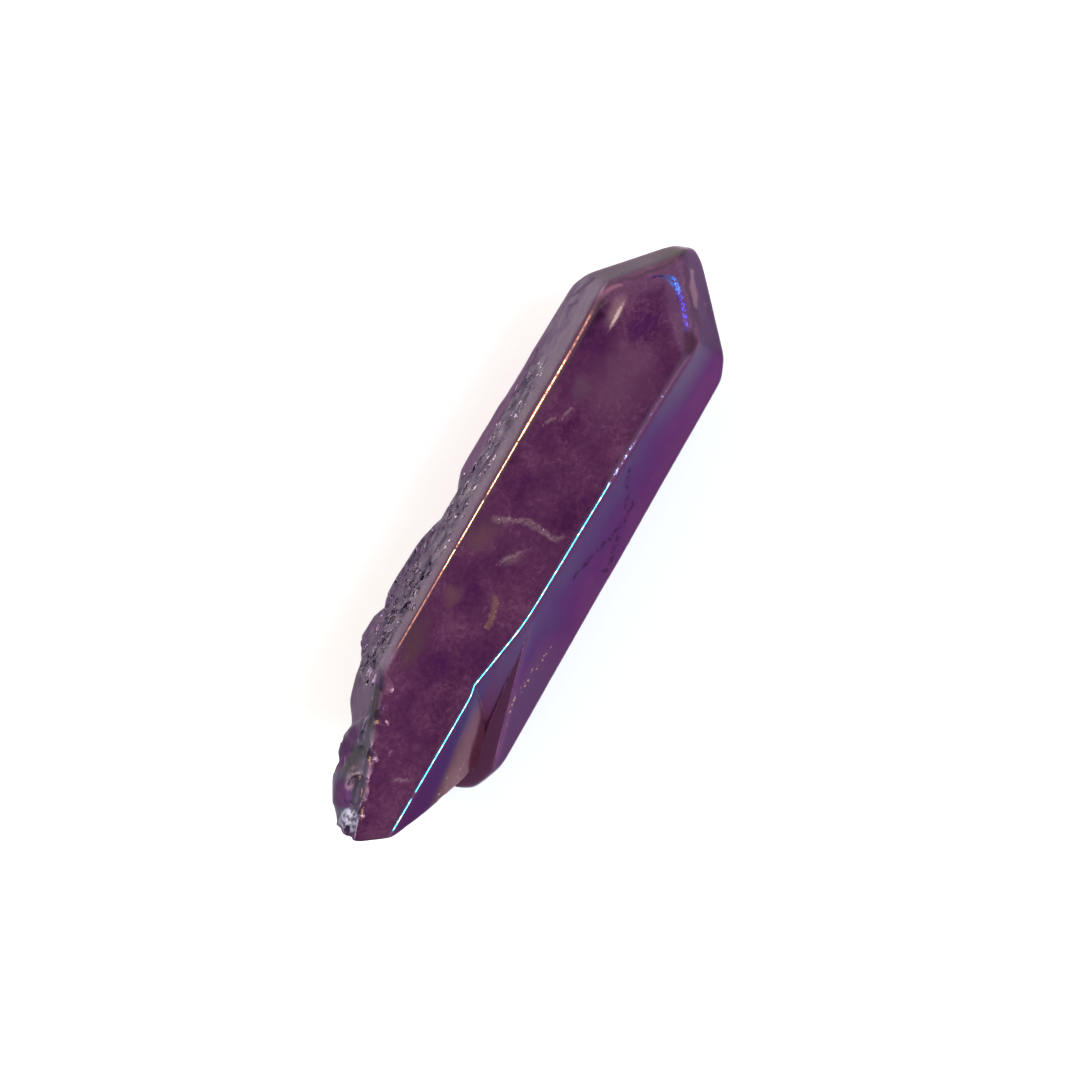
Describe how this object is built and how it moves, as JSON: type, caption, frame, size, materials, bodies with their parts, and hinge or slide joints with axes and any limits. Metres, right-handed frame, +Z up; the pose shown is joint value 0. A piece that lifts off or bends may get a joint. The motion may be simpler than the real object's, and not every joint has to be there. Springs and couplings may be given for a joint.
{
  "type": "aura quartz crystal point",
  "caption": "Single quartz crystal point with an iridescent purple coating, a stepped flank, a cleft beside a smaller grown-on crystal and a broken base, lying on one of its prism faces.",
  "frame": {"origin": "middle of the crystal's bounding box, on the surface it lies on", "axes": "+X along the crystal's long axis, from the broken base to the tip; +Z up, out of its broad top face; +Y towards the stepped and pitted flank"},
  "size_m": [0.0568, 0.0158, 0.0122],
  "materials": {
    "aura_quartz": "dark purple, see-through in the depth, polished, with a thin iridescent metal coating that turns blue, pink and grey-green at a slant"
  },
  "bodies": {
    "root": {"quartz_point": "aura_quartz"}
  },
  "joints": []
}
